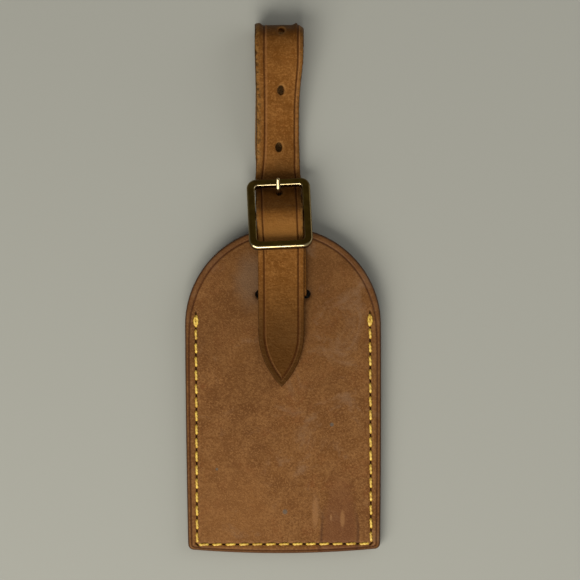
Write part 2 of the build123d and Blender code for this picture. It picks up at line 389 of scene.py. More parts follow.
def tag_panel(name, is_front):
    """One leather layer: a worked outer face, a burnished wall and a plain inner face."""
    fine = [0, 0.05, 0.12, 0.22, 0.34, 0.46] + stretch(0.6, 4.5, 0.15)
    insets = fine + stretch(4.9, 16.0, 0.9) + stretch(16.0, 21.6, 0.28) + stretch(22.0, 29.0, 0.9) + [29.4]
    inner = [29.4, 16.0, 5.0, 0.5, 0.15, 0.0]
    rings, masks = [], {label: [] for label in ("crease", "pit", "edge", "rim", "band")}
    for inset in reversed(insets):
        flat = tag_ring(inset)
        x, y = flat[:, 0], flat[:, 1]
        height, values = face_relief(x, y, np.full_like(x, inset))
        rings.append(np.column_stack([x, y, PANEL_THICKNESS + height]))
        for label in masks:
            masks[label].append(values[label])
    for inset in reversed(inner):
        flat = tag_ring(inset)
        x, y = flat[:, 0], flat[:, 1]
        swell = 0.04 * wander(x + y, y - x, 2.5, 8) if inset == 0 else 0
        level = rounded(inset, 0.15) if inset < 0.5 else 0.0
        rings.append(np.column_stack([x * (1 + swell / 30), y, np.full_like(x, level)]))
        for label in masks:
            masks[label].append(np.full_like(x, 1.0 if label == "edge" and inset < 0.4 else 0.0))
    rings = np.array(rings)
    if is_front:
        rings[..., 2] += PANEL_THICKNESS
    else:
        rings[..., 2] = PANEL_THICKNESS - rings[..., 2]
    return skin(name, place_on_tag(rings), {label: np.array(values) for label, values in masks.items()})


def round_rectangle(half_x, half_y, radius, centre_y, steps=8):
    points = []
    for corner, (sx, sy) in enumerate(((1, 1), (-1, 1), (-1, -1), (1, -1))):
        for i in range(steps + 1):
            angle = math.pi / 2 * (corner + i / steps)
            x = sx * (half_x - radius) + radius * math.cos(angle)
            y = sy * (half_y - radius) + radius * math.sin(angle)
            points.append((x, centre_y + y))
    return points


def slot_cutter(name):
    outline = round_rectangle(SLOT_HALF_WIDTH, SLOT_HALF_HEIGHT, SLOT_HALF_HEIGHT - 0.01, SLOT_CENTRE_Y)
    return prism(name, outline, -1.0, TAG_THICKNESS + 1, place_on_tag)


def front_panel():
    panel = tag_panel("front_leather", True)
    return cut(panel, slot_cutter("slot_in_front"))


def back_panel():
    panel = tag_panel("back_leather", False)
    window = round_rectangle(*WINDOW_HALF, WINDOW_CORNER, WINDOW_CENTRE_Y)
    middle_y = (POCKET_BOTTOM_Y + TAG_LENGTH + 5) / 2
    pocket = round_rectangle(POCKET_HALF_WIDTH, middle_y - POCKET_BOTTOM_Y, 0.5, middle_y)
    floor_z = PANEL_THICKNESS - POCKET_DEPTH
    return cut(
        panel,
        slot_cutter("slot_in_back"),
        prism("window_cut", window, -1.0, TAG_THICKNESS, place_on_tag),
        prism("pocket_cut", pocket, floor_z, TAG_THICKNESS, place_on_tag),
    )


# -------- thread


def twisted_thread(points, width, height, twist, to_frame):
    """Two plies of thread laid round each other along a path, as one skin."""
    points = np.asarray(points, float)
    around = 16
    tangents = np.gradient(points, axis=0)
    tangents /= np.linalg.norm(tangents, axis=1)[:, None]
    start = np.array((0.0, 0.0, 1.0))
    if abs(tangents[:, 2]).max() > 0.97:
        plane = np.cross(points[len(points) // 2] - points[0], points[-1] - points[0])
        start = plane / np.linalg.norm(plane)
        sides = np.tile(start, (len(points), 1))
    else:
        sides = np.cross(tangents, start)
        sides /= np.linalg.norm(sides, axis=1)[:, None]
    ups = np.cross(sides, tangents)
    travelled = np.concatenate([[0], np.cumsum(np.linalg.norm(np.diff(points, axis=0), axis=1))])
    rings = []
    for point, side, up, s in zip(points, sides, ups, travelled):
        angles = np.linspace(0, math.tau, around, endpoint=False)
        lobes = 0.78 + 0.3 * np.abs(np.cos(angles - math.pi * s / twist))
        ring = (
            point
            + np.outer(lobes * np.cos(angles) * width / 2, side)
            + np.outer(lobes * np.sin(angles) * height / 2, up)
        )
        rings.append(ring)
    return to_frame(np.array(rings))


def stitch_path(start, end, face_z, outward_z, lift, slant=0.2, bow=0.0, inset=0.66):
    """A stitch that rises from one hole, lies on the leather and goes down the next."""
    start, end = np.array(start, float), np.array(end, float)
    length = np.linalg.norm(end - start)
    along = (end - start) / length
    aside = np.array((-along[1], along[0]))
    points = []
    for t in np.linspace(0, 1, 34):
        at = inset + t * (length - 2 * inset)
        rise = 1 - abs(2 * t - 1) ** 7
        flat = start + along * at + aside * (slant * (t - 0.5) + bow * math.sin(math.pi * t))
        points.append((flat[0], flat[1], face_z + outward_z * (lift * rise - 0.75 * (1 - rise))))
    return points


def seam_thread(name, face_z, outward_z):
    """The border seam on one face, with the doubled stitch at each end of the seam."""
    points = seam_points()
    parts = []
    last = len(points) - 2
    for i, (start, end) in enumerate(zip(points, points[1:])):
        lift = 0.2 + 0.03 * math.sin(2.3 * i)
        if i in (0, last):
            paths = [
                stitch_path(start, end, face_z, outward_z, lift + 0.06, 0.0, 0.42, 0.3),
                stitch_path(start, end, face_z, outward_z, lift + 0.14, 0.0, -0.42, 0.45),
            ]
        else:
            paths = [stitch_path(start, end, face_z, outward_z, lift)]
        for path in paths:
            parts.append((twisted_thread(path, STITCH_WIDTH, STITCH_HEIGHT, PLY_LENGTH, place_on_tag), False))
    return skins(name, parts)


def end_stitches():
    """Closed loops of thread through both layers of the strap's fold."""
    parts = []
    low_z, high_z = END_STITCH_SPAN
    for x0, x1 in zip(END_STITCH_XS, END_STITCH_XS[1:]):
        half = (x1 - x0) / 2 - 0.2
        middle = ((x0 + x1) / 2 + STRAP_X, END_STITCH_Y, (low_z + high_z) / 2)
        rings = []
        for t in np.linspace(0, math.tau, 61):
            c, s = math.cos(t), math.sin(t)
            reach = (abs(c) ** 6 + abs(s) ** 6) ** (1 / 6)
            radial = np.array((c, 0, s)) / np.linalg.norm((c, 0, s))
            point = np.array(middle) + np.array((half * c / reach, 0, (high_z - low_z) / 2 * s / reach))
            ring = []
            for angle in np.linspace(0, math.tau, 10, endpoint=False):
                size = 0.12 * (0.8 + 0.25 * abs(math.cos(angle - 6 * t)))
                ring.append(point + size * (math.cos(angle) * radial + math.sin(angle) * FLATTENED))
            rings.append(ring)
        parts.append((place(np.array(rings)), False))
    return skins("strap_end_thread", parts)


# -------- strap


def filleted(corners, radii, step):
    """Evenly spaced points along lines joined by tangent arcs."""
    corners = [np.array(c, float) for c in corners]
    path = [corners[0]]
    for before, corner, after, radius in zip(corners, corners[1:], corners[2:], radii):
        incoming = (corner - before) / np.linalg.norm(corner - before)
        outgoing = (after - corner) / np.linalg.norm(after - corner)
        turn = math.acos(np.clip(incoming @ outgoing, -1, 1))
        back = radius * math.tan(turn / 2)
        side = np.array((-incoming[1], incoming[0]))
        if side @ outgoing < 0:
            side = -side
        centre = corner - incoming * back + side * radius
        for i in range(17):
            angle = turn * i / 16
            path.append(centre - side * radius * math.cos(angle) + incoming * radius * math.sin(angle))
    path.append(corners[-1])
    path = np.array(path)
    travelled = np.concatenate([[0], np.cumsum(np.linalg.norm(np.diff(path, axis=0), axis=1))])
    at = np.linspace(0, travelled[-1], int(travelled[-1] / step) + 1)
    return np.column_stack([np.interp(at, travelled, path[:, 0]), np.interp(at, travelled, path[:, 1])]), at


PATH, ALONG = filleted(STRAP_CORNERS, STRAP_RADII, STRAP_STEP)
STRAP_LENGTH = ALONG[-1]
TO_TIP = STRAP_LENGTH - ALONG
FREE_RUN_LENGTH = 118.0
FIXED_RUN_LENGTH = 38.0
WALL_LEVELS = (0.62, 0.2, -0.25, -0.7)
IS_FRONT_LEG = TO_TIP < FREE_RUN_LENGTH


def smoothed(values, reach):
    """A running average that keeps both ends."""
    kernel = np.hanning(2 * reach + 3)[1:-1]
    kernel /= kernel.sum()
    before = 2 * values[0] - values[reach:0:-1]
    after = 2 * values[-1] - values[-2 : -reach - 2 : -1]
    padded = np.concatenate([before, values, after])
    return np.convolve(padded, kernel, mode="valid")


def strap_frames():
    """Middle line, heading and grain-side direction at every station, in the (Y, Z) plane."""
    middle = np.column_stack([smoothed(PATH[:, 0], 2), smoothed(PATH[:, 1], 2)])
    heading = np.gradient(middle, axis=0)
    heading /= np.linalg.norm(heading, axis=1)[:, None]
    grain = np.column_stack([heading[:, 1], -heading[:, 0]])
    return middle, heading, grain


def run_value(table):
    """A value tabled against Y, at every station."""
    table = np.array(table)
    return np.interp(PATH[:, 0], table[:, 0], table[:, 1])


def strap_shape():
    """Half width, sideways place, roll and thickness at every station."""
    y = PATH[:, 0]
    loop_top = np.where(PATH[:, 1] > 1.6, ramp(y, 134.0, 152.0), 0)
    past_tip = np.clip(TIP_LENGTH - TO_TIP, 0, TIP_LENGTH)
    radius = (STRAP_HALF_WIDTH**2 + TIP_LENGTH**2) / (2 * STRAP_HALF_WIDTH)
    narrowing = radius - np.sqrt(radius**2 - past_tip**2)
    leg = np.where(IS_FRONT_LEG, 1.0, 0.0)
    in_buckle = leg * ramp(y, 90.0, 94.0) * ramp(-y, -118.0, -114.0)
    neck = leg * ramp(y, 112.0, 120.0) * ramp(-y, -156.0, -140.0)
    under_neck = (1 - leg) * ramp(y, 108.0, 118.0) * ramp(-y, -158.0, -148.0)
    half = STRAP_HALF_WIDTH - narrowing + 0.08 * in_buckle - 0.3 * neck - 0.35 * under_neck + 0.45 * loop_top
    is_fixed = ALONG < FIXED_RUN_LENGTH
    middle = np.where(IS_FRONT_LEG, run_value(FREE_RUN_X), run_value(LOWER_RUN_X))
    middle = np.where(is_fixed, run_value(FIXED_RUN_X), middle)
    heading_y = np.abs(np.gradient(PATH[:, 0])) / STRAP_STEP
    roll = math.radians(15) * np.where(PATH[:, 1] > 3.6, ramp(y, 116.0, 128.0) * ramp(-y, -160.0, -140.0), 0)
    roll = smoothed(roll * np.clip(heading_y, 0, 1) ** 2, 12)
    thickness = SKIVED_THICKNESS + (STRAP_THICKNESS - SKIVED_THICKNESS) * ramp(ALONG, 17.0, 20.5)
    return np.maximum(half, 0.06), smoothed(middle, 10), roll, thickness


def strap_columns():
    edge = [0.0, 0.06, 0.14, 0.26, 0.4, 0.56, 0.74, 0.92] + stretch(1.08, 2.8, 0.13) + [3.1, 3.6]
    left = [-(1 - e / STRAP_HALF_WIDTH) for e in edge]
    middle = np.linspace(-3.2, 3.2, 21) / STRAP_HALF_WIDTH
    return np.array(left + middle.tolist() + [-q for q in reversed(left)])


def tip_distance(u, to_tip, half):
    """Distance in from the strap's edge, also round the pointed end."""
    radius = (STRAP_HALF_WIDTH**2 + TIP_LENGTH**2) / (2 * STRAP_HALF_WIDTH)
    to_arc = radius - np.hypot(np.abs(u) + radius - STRAP_HALF_WIDTH, TIP_LENGTH - to_tip)
    return np.where(to_tip < TIP_LENGTH, to_arc, half - np.abs(u))


def strap_relief(u, inset):
    """Height of the grain side and its masks."""
    to_tip = np.broadcast_to(TO_TIP[:, None], u.shape)
    y = np.broadcast_to(PATH[:, 0][:, None], u.shape)
    leg = np.broadcast_to(IS_FRONT_LEG[:, None], u.shape)
    worn_loop = leg * ramp(y, 112.0, 124.0)
    high = ramp(y, 140.0, 158.0)
    at = STRAP_CREASE + worn_loop * np.where(u < 0, 0.7 + 0.3 * high, -0.3 + 0.25 * high)
    crease = bell(inset - at, 0.23)
    holes = np.zeros_like(u)
    for station, aside in zip(HOLES_FROM_TIP, HOLES_ASIDE):
        far = np.hypot((to_tip - station) / 1.65, (u - aside) / 1.2)
        holes = np.maximum(holes, np.exp(-np.clip(far - 1, 0, 9) / 0.16))
    edge_radius = np.where(u < 0, 0.42 + 0.55 * worn_loop, 0.42 + 0.25 * worn_loop)
    height = -rounded(inset, edge_radius) - 0.28 * crease - 0.22 * holes
    height = height + 0.05 * wander(to_tip, u, 6.0, 21) + 0.03 * wander(to_tip, u, 1.6, 22)
    height = height + 0.1 * bell(inset - at - 0.45, 0.3)
    worn = worn_loop * np.where(u < 0, 1.0, 0.55) * ramp(-inset, -1.9, -0.5)
    worn = np.maximum(worn, 0.9 * leg * bell(y - 105.0, 7.0) * ramp(-inset, -1.0, -0.3))
    near_tip = ramp(-to_tip, -42.0, -14.0)
    margin = ramp(at - inset, -0.1, 0.4)
    # Painted shade on the strap around the frame's top bar, on its upper half inside the frame and where it
    # goes under the bar.
    frame_shade = leg * bell(y - 112.5, 10.5)
    # Painted shade on the top of the fold, which turns away from the light.
    fold_shade = bell(y - 163.5, 7.5) * (PATH[:, 1] > 2.0)[:, None]
    masks = {
        "crease": crease,
        "edge": np.clip(1 - inset / 0.35, 0, 1),
        # Painted highlight on the right side of each hole, whose wall faces the light.
        "rim": holes * ramp(u, -1.3, 1.3),
        "worn": worn,
        # Painted highlight on the crease's right flank, which faces the light from the left.
        "ridge": bell(inset - at + np.where(u < 0, -0.46, 0.46), 0.17) * (0.35 + 0.65 * worn_loop),
        # Painted light on the lower half of the strap inside the buckle, where it faces the light.
        "pale": leg * bell(y - 98.5, 4.5),
        # Darker near the tip as oil patina, plus the painted shade by the frame and on the fold.
        "oiled": np.clip(near_tip * (0.84 + 0.16 * margin) + 0.66 * frame_shade + 0.9 * fold_shade, 0, 1),
    }
    return height, masks


def bend_flare(u, half):
    """At the top fold the margins stand out past the middle, and the right corner is rubbed away."""
    near = bell(PATH[:, 0] - 162.0, 4.0)[:, None] * (PATH[:, 1] > 2.5)[:, None]
    across = u / half[:, None]
    ears = ramp(-across, 0.66, 0.82) + ramp(across, 0.5, 0.72)
    return near * (0.65 * ears - 0.65 - 1.5 * ramp(across, 0.64, 1.04))


def strap_walls(half, thickness):
    """The cut edges, right then left: four levels each, as (place across, height)."""
    walls = []
    for side in (1, -1):
        levels = WALL_LEVELS if side > 0 else WALL_LEVELS[::-1]
        for level in levels:
            fuzz = 0.07 * wander(TO_TIP * 1.0, np.full_like(TO_TIP, level * 3), 0.7, 40 + side)
            reach = side * (half + fuzz * (TO_TIP > 0.6))
            walls.append((reach, np.full_like(reach, level) * (thickness / 2 - 0.12)))
    count = len(WALL_LEVELS)
    return walls[:count], walls[count:]


def masks_all_round(masks, u, back_u):
    """The grain side's masks carried on over the cut edges and the flesh side."""
    wall_shape = (len(TO_TIP), len(WALL_LEVELS))
    full = {}
    for label, values in masks.items():
        wall = np.full(wall_shape, 1.0 if label == "edge" else 0.0)
        full[label] = np.column_stack([values, wall, np.zeros_like(back_u), wall])
    flesh_wall = np.full(wall_shape, 0.6)
    full["flesh"] = np.column_stack([np.zeros_like(u), flesh_wall, np.ones_like(back_u), flesh_wall])
    return full


def strap():
    middle, heading, grain = strap_frames()
    half, shift, roll, thickness = strap_shape()
    columns = strap_columns()
    back_columns = np.linspace(1, -1, 11)
    u = half[:, None] * columns[None, :]
    to_tip = np.broadcast_to(TO_TIP[:, None], u.shape)
    inset = np.clip(tip_distance(u, to_tip, half[:, None]), 0, None)
    top, masks = strap_relief(u, inset)
    top = top + thickness[:, None] / 2
    back_u = half[:, None] * back_columns[None, :]
    back_inset = half[:, None] - np.abs(back_u)
    rough = 0.035 * wander(np.broadcast_to(TO_TIP[:, None], back_u.shape), back_u * 2, 0.9, 30)
    back = -thickness[:, None] / 2 + rounded(back_inset, 0.2) + np.clip(rough, 0, 1)
    right, left = strap_walls(half, thickness)
    all_u = np.column_stack([u] + [w[0] for w in right] + [back_u] + [w[0] for w in left])
    all_h = np.column_stack([top] + [w[1] for w in right] + [back] + [w[1] for w in left])
    all_h = all_h + bend_flare(all_u, half)
    turn_u = all_u * np.cos(roll)[:, None] + all_h * np.sin(roll)[:, None]
    turn_h = -all_u * np.sin(roll)[:, None] + all_h * np.cos(roll)[:, None]
    rings = np.empty(all_u.shape + (3,))
    rings[..., 0] = turn_u + shift[:, None]
    rings[..., 1] = middle[:, 0][:, None] + grain[:, 0][:, None] * turn_h
    rings[..., 2] = middle[:, 1][:, None] + grain[:, 1][:, None] * turn_h
    rings[..., 2] = np.maximum(rings[..., 2], 0.02)
    body = skin("strap_leather", place(rings), masks_all_round(masks, u, back_u))
    return cut(body, *strap_cutters(middle, heading, grain, shift, roll))


def strap_cutters(middle, heading, grain, shift, roll):
    """Adjusting holes square to the strap, and the slit in the fold for the prong's eye."""
    cutters = []
    for number, (station, aside) in enumerate(zip(HOLES_FROM_TIP, HOLES_ASIDE)):
        at = int(np.argmin(np.abs(TO_TIP - station)))
        long_half, wide_half = PRONG_HOLE_HALF if number == 0 else HOLE_HALF
        ahead = np.array((0, *heading[at]))
        up = np.array((math.sin(roll[at]), *(grain[at] * math.cos(roll[at]))))
        side = np.cross(ahead, up)
        side = side * math.copysign(1.0, side[0])
        centre = np.array((shift[at], *middle[at])) + aside * side
        rings = []
        for level in (-1.35, 1.35):
            ring = []
            for angle in np.linspace(0, math.tau, 28, endpoint=False):
                rim = ahead * long_half * math.cos(angle) + side * wide_half * math.sin(angle)
                ring.append(centre + up * level + rim)
            rings.append(ring)
        cutters.append(skin(f"hole_cut_{number}", place(np.array(rings))))
    rings = []
    for x in (BUCKLE_CENTRE[0] - SLIT_WIDTH / 2, BUCKLE_CENTRE[0] + SLIT_WIDTH / 2):
        ring = []
        for angle in np.linspace(0, math.tau, 32, endpoint=False):
            y = BAR_CENTRE[0] + (FOLD_RADIUS + 0.03) * math.cos(angle)
            ring.append((x, y, BAR_CENTRE[1] + (FOLD_RADIUS + 0.03) * math.sin(angle)))
        rings.append(ring)
    cutters.append(skin("slit_cut", place(np.array(rings))))
    return cutters


# -------- buckle


def place_in_buckle(points, turn=BUCKLE_TURN):
    """Points drawn in the buckle's own plane, turned in it and leaned over the strap."""
    p = np.asarray(points, float)
    x = p[..., 0] * math.cos(turn) - p[..., 1] * math.sin(turn)
    y = p[..., 0] * math.sin(turn) + p[..., 1] * math.cos(turn)
    z = p[..., 2]
    leaned = np.empty_like(p)
    leaned[..., 0] = BUCKLE_CENTRE[0] + x
    leaned[..., 1] = BUCKLE_CENTRE[1] + y * math.cos(BUCKLE_LEAN) + z * math.sin(BUCKLE_LEAN)
    leaned[..., 2] = BUCKLE_CENTRE[2] - y * math.sin(BUCKLE_LEAN) + z * math.cos(BUCKLE_LEAN)
    return place(leaned)


def frame_section(front, back):
    """Outline of the frame's metal from the opening outwards, as share across, height and edge brightness,
    which is rubbed wear and also a painted highlight.

    The front bar is rubbed rounder outside, and the back bar inside; the bright band sits on the arcs that
    face the window light, strongest on those two edges.
    """
    width = FRAME_HALF[0] - OPENING_HALF[0]
    top = FRAME_DEPTH / 2
    inside = 0.32 + 0.14 * back
    outside = 0.5 + 0.25 * front
    corners = [(inside, top - inside, inside, 180, 0.15 + 0.85 * back)]
    corners += [(width - outside, top - outside, outside, 90, 0.22 + 0.78 * front)]
    corners += [(width - 0.45, 0.45 - top, 0.45, 0, 0.1), (0.4, 0.4 - top, 0.4, -90, 0.1)]
    section = []
    for across, height, radius, start, most in corners:
        for t in np.linspace(0, 1, 12):
            angle = math.radians(start - 90 * t)
            # Bright band across the middle of each arc: rubbed wear and painted highlight.
            rubbed_and_lit = most * (1 - abs(2 * t - 1) ** 1.5)
            share = (across + radius * math.cos(angle)) / width
            section.append((share, height + radius * math.sin(angle), rubbed_and_lit))
    return np.array(section)


def buckle_frame():
    """A bar frame with rounded edges, its centre bar and the two lugs that hold the bar."""
    inner = np.array(round_rectangle(*OPENING_HALF, OPENING_CORNER, 0.0, 10))
    outer = np.array(round_rectangle(*FRAME_HALF, FRAME_CORNER, 0.0, 10))
    fronts, backs = ramp(-outer[:, 1], 9.6, 11.1), ramp(inner[:, 1], 7.9, 8.9)
    sections = np.array([frame_section(front, back) for front, back in zip(fronts, backs)])
    body = np.empty(sections.shape)
    body[..., :2] = inner[:, None, :] + (outer - inner)[:, None, :] * sections[..., :1]
    body[..., 2] = sections[..., 1]
    parts = [(place_in_buckle(body), True)]
    rubbed_and_lit = [sections[..., 2].ravel()]
    middle_x = (FRAME_HALF[0] + OPENING_HALF[0]) / 2
    for side in (-1, 1):
        outline = np.array(round_rectangle(1.2, 1.3, 0.3, 0.0, 4))
        levels = ((-2.05, 0.88), (-1.9, 1.0), (-0.8, 1.0))
        lug = []
        for z, k in levels:
            x = side * middle_x + outline[:, 0] * k
            lug.append(np.column_stack([x, outline[:, 1] * k, np.full(len(outline), z)]))
        parts.append((place_in_buckle(np.array(lug)), False))
        rubbed_and_lit.append(np.full(len(levels) * len(outline), 0.2))
    angles = np.linspace(0, math.tau, 24, endpoint=False)
    bar = []
    for x in np.linspace(-middle_x, middle_x, 9):
        bar.append([(x, BAR_RADIUS * math.cos(a), BAR_RADIUS * math.sin(a) - BAR_DROP) for a in angles])
    parts.append((place_in_buckle(np.array(bar), turn=0.0), False))
    rubbed_and_lit.append(np.full(9 * len(angles), 0.3))
    return skins("brass_frame", parts, {"edge": np.concatenate(rubbed_and_lit)})


def prong():
    """A strip wrapped round the bar that leaves it as a round tapering pin."""
    path, along = filleted(PRONG_CORNERS, PRONG_RADII, 0.16)
    heading = np.gradient(path, axis=0)
    heading /= np.linalg.norm(heading, axis=1)[:, None]
    to_end = along[-1] - along
    pin = ramp(along, 7.2, 9.6)
    half_width = 1.3 + (0.72 - 1.3) * pin - 0.14 * ramp(-to_end, -5.0, 0.0)
    half_thick = 0.38 + (0.57 - 0.38) * pin - 0.08 * ramp(-to_end, -5.0, 0.0)
    ends = np.sqrt(np.clip(1 - np.clip(1 - np.minimum(to_end / 0.6, along / 0.25), 0, 0.97) ** 2, 0, 1))
    power = 0.5 + 0.28 * pin
    rings = []
    for point, ahead, a, b, k in zip(path, heading, half_width * ends, half_thick * ends, power):
        ring = []
        for angle in np.linspace(0, math.tau, 24, endpoint=False):
            c, s = math.cos(angle), math.sin(angle)
            x = a * math.copysign(abs(c) ** k, c)
            up = b * math.copysign(abs(s) ** k, s)
            ring.append((x, point[0] - ahead[1] * up, point[1] + ahead[0] * up))
        rings.append(ring)
    rings = np.array(rings)
    # The prong half bright all over: rubbed brass and a painted highlight.
    return skin("brass_prong", place_in_buckle(rings), {"edge": np.full(rings.shape[:2], 0.5)})


# -------- materials

# Colours, as linear red, green and blue
PANEL_TONES = ((0.232, 0.104, 0.032), (0.174, 0.068, 0.0155), (0.106, 0.036, 0.0070), (0.188, 0.059, 0.016))
STRAP_TONES = ((0.262, 0.110, 0.026), (0.202, 0.076, 0.012), (0.130, 0.043, 0.0055), (0.198, 0.065, 0.012))
STAIN_COLOUR = (0.120, 0.039, 0.0145)
STAIN_LINE_COLOUR = (0.055, 0.016, 0.007)
DRIP_COLOUR = (0.25, 0.116, 0.042)
ARCH_SHADE_COLOUR = (0.095, 0.036, 0.007)
LOWER_LEFT_LIGHT_COLOUR = (0.25, 0.105, 0.030)
SHEEN_COLOUR = (0.150, 0.098, 0.062)
MOTTLED_SHEEN_COLOUR = (0.215, 0.122, 0.066)
SPECK_COLOUR = (0.085, 0.085, 0.075)
PANEL_CREASE_COLOUR = (0.045, 0.010, 0.003)
STITCH_HOLE_SHADE_COLOUR = (0.046, 0.018, 0.005)
BAND_COLOUR = (0.075, 0.026, 0.009)
BURNISH_COLOUR = (0.042, 0.014, 0.006)
SLOT_RIM_COLOUR = (0.050, 0.018, 0.006)
WRINKLE_COLOUR = (0.128, 0.045, 0.007)
LIT_HALF_COLOUR = (0.285, 0.122, 0.026)
OIL_AND_SHADE_COLOUR = (0.040, 0.0118, 0.0008)
SUEDE_TONES = ((0.10, 0.045, 0.013), (0.27, 0.145, 0.050))
WORN_COLOUR = (0.235, 0.118, 0.032)
RIDGE_HIGHLIGHT_COLOUR = (0.33, 0.15, 0.055)
SCRAPED_COLOUR = (0.060, 0.025, 0.006)
STRAP_CREASE_COLOUR = (0.052, 0.0125, 0.0022)
STRAP_EDGE_COLOUR = (0.045, 0.018, 0.005)
HOLE_RIM_HIGHLIGHT_COLOUR = (0.30, 0.15, 0.045)
THREAD_TONES = ((0.47, 0.26, 0.018), (0.80, 0.56, 0.085))
THREAD_DIRT_COLOUR = (0.20, 0.10, 0.015)
DARK_BRASS_TONES = ((0.066, 0.038, 0.006), (0.105, 0.065, 0.011))
BRIGHT_BRASS_TONES = ((0.72, 0.59, 0.34), (0.56, 0.43, 0.19))
BRASS_SPOT_COLOUR = (0.060, 0.038, 0.010)
CARD_TONES = ((0.74, 0.70, 0.60), (0.84, 0.81, 0.73))
CARD_AGE_COLOUR = (0.60, 0.50, 0.34)
WINDOW_TONES = ((0.93, 0.94, 0.92), (0.86, 0.85, 0.78))
FLOOR_COLOUR = (0.35, 0.355, 0.318)

# Marks on the front face: X and Y in millimetres, then half sizes in metres
STAIN_DRIPS = ((9.6, 12.5, 0.0011, 0.0052), (17.9, 10.6, 0.0008, 0.0030), (14.4, 11.0, 0.0004, 0.0012))
SPECKS = ((14.8, 39.5, 0.0007), (0.3, 12.8, 0.0009), (-20.5, 26.0, 0.0005))


class Shader:
    """A material being wired up."""

    def __init__(self, name):
        self.material = bpy.data.materials.new(name)
        self.material.use_nodes = True
        self.tree = self.material.node_tree
        self.bsdf = self.tree.nodes["Principled BSDF"]
        self.place = self.tree.nodes.new("ShaderNodeTexCoord").outputs["Object"]

    def feed(self, socket, value):
        """Sets a socket to a number, a vector or a colour, or wires another socket into it."""
        if isinstance(value, (int, float)):
            socket.default_value = value
        elif isinstance(value, tuple):
            is_short = len(value) < len(socket.default_value)
            socket.default_value = (*value, 1.0) if is_short else value
        else:
            self.tree.links.new(value, socket)

    def node(self, kind, output, inputs, **settings):
        """Adds a node, feeds its inputs and gives back one output."""
        node = self.tree.nodes.new(kind)
        for label, value in settings.items():
            setattr(node, label, value)
        for label, value in inputs.items():
            self.feed(node.inputs[label], value)
        return node.outputs[output]

    def noise(self, scale, detail, roughness, distortion=0.0, stretch=None):
        place = self.place
        if stretch is not None:
            place = self.node("ShaderNodeMapping", "Vector", {"Vector": place, "Scale": stretch})
        inputs = {"Vector": place, "Scale": scale, "Detail": detail, "Roughness": roughness}
        inputs["Distortion"] = distortion
        return self.node("ShaderNodeTexNoise", "Fac", inputs)

    def voronoi(self, scale):
        inputs = {"Vector": self.place, "Scale": scale}
        return self.node("ShaderNodeTexVoronoi", "Distance", inputs, feature="F1")

    def mask(self, label):
        return self.node("ShaderNodeAttribute", "Fac", {}, attribute_name=label)

    def span(self, value, low, high, to_low=0.0, to_high=1.0):
        inputs = {"Value": value, "From Min": low, "From Max": high, "To Min": to_low, "To Max": to_high}
        return self.node("ShaderNodeMapRange", "Result", inputs, interpolation_type="SMOOTHSTEP")

    def math(self, operation, first, second):
        return self.node("ShaderNodeMath", "Value", {0: first, 1: second}, operation=operation)

    def times(self, first, second):
        return self.math("MULTIPLY", first, second)

    def blend(self, share, first, second):
        inputs = {0: share, 6: first, 7: second}
        return self.node("ShaderNodeMix", 2, inputs, data_type="RGBA", blend_type="MIX")

    def bump(self, height, distance, strength=1.0, below=None):
        inputs = {"Strength": strength, "Distance": distance, "Height": height}
        if below is not None:
            inputs["Normal"] = below
        return self.node("ShaderNodeBump", "Normal", inputs)

    def set(self, label, value):
        self.feed(self.bsdf.inputs[label], value)

    def finish(self, colour, roughness, normal=None):
        self.set("Base Color", colour)
        self.set("Roughness", roughness)
        if normal is not None:
            self.set("Normal", normal)
        return self.material


def near_point(shader, centre, size, wobble):
    """A soft round patch about a point of the tag's face, with a wandering outline."""
    kind = "ShaderNodeVectorMath"
    offset = shader.node(kind, "Vector", {0: shader.place, 1: centre}, operation="SUBTRACT")
    scaled = shader.node(kind, "Vector", {0: offset, 1: size}, operation="DIVIDE")
    length = shader.node(kind, "Value", {0: scaled}, operation="LENGTH")
    return shader.math("ADD", length, wobble)


def on_tag(x, y):
    return tuple(float(v) for v in place_on_tag(np.array((x, y, TAG_THICKNESS))))


def leather_base(shader, light, middle, dark, red):
    """Mottled vegetable-tanned leather colour."""
    broad = shader.span(shader.noise(48, 3.0, 0.6, 0.4), 0.32, 0.68)
    patches = shader.span(shader.noise(210, 4.0, 0.65, 0.3), 0.36, 0.66)
    fine = shader.span(shader.noise(1300, 3.0, 0.65), 0.34, 0.66)
    ruddy = shader.span(shader.noise(95, 4.0, 0.65, 0.5), 0.48, 0.72, 0.0, 0.6)
    colour = shader.blend(broad, dark, middle)
    colour = shader.blend(ruddy, colour, red)
    colour = shader.blend(shader.times(patches, 0.8), colour, light)
    colour = shader.blend(shader.times(fine, 0.8), colour, dark)
    pale = shader.span(shader.noise(1700, 2.0, 0.6), 0.5, 0.66, 0.0, 0.8)
    return shader.blend(pale, colour, light)


def grain_normal(shader, depth):
    cells = shader.voronoi(2300)
    pores = shader.noise(3400, 3.0, 0.6)
    first = shader.bump(cells, depth, 0.5)
    return shader.bump(pores, depth * 1.2, 0.5, first)


def stained(shader, colour, wobble):
    """An old water stain that spread up from the bottom edge, with three drips it missed."""
    stain = near_point(shader, on_tag(16.8, 0.0), (0.0062, 0.027, 0.03), wobble)
    low = near_point(shader, on_tag(16.8, -4.0), (0.016, 0.030, 0.03), wobble)
    fading = shader.span(low, 0.4, 1.1, 1.0, 0.0)
    inside = shader.times(shader.span(stain, 0.72, 1.0, 0.64, 0.0), fading)
    line = shader.times(shader.span(stain, 0.8, 0.93), shader.span(stain, 0.94, 1.05, 1.0, 0.0))
    corner = near_point(shader, on_tag(17.0, 4.5), (0.012, 0.0105, 0.03), 0.0)
    line = shader.times(line, shader.span(corner, 0.4, 1.2, 0.72, 0.03))
    colour = shader.blend(inside, colour, STAIN_COLOUR)
    colour = shader.blend(line, colour, STAIN_LINE_COLOUR)
    for x, y, half_x, half_y in STAIN_DRIPS:
        drip = near_point(shader, on_tag(x, y), (half_x, half_y, 0.03), 0.0)
        colour = shader.blend(shader.span(drip, 0.5, 1.15, 0.75, 0.0), colour, DRIP_COLOUR)
    return colour


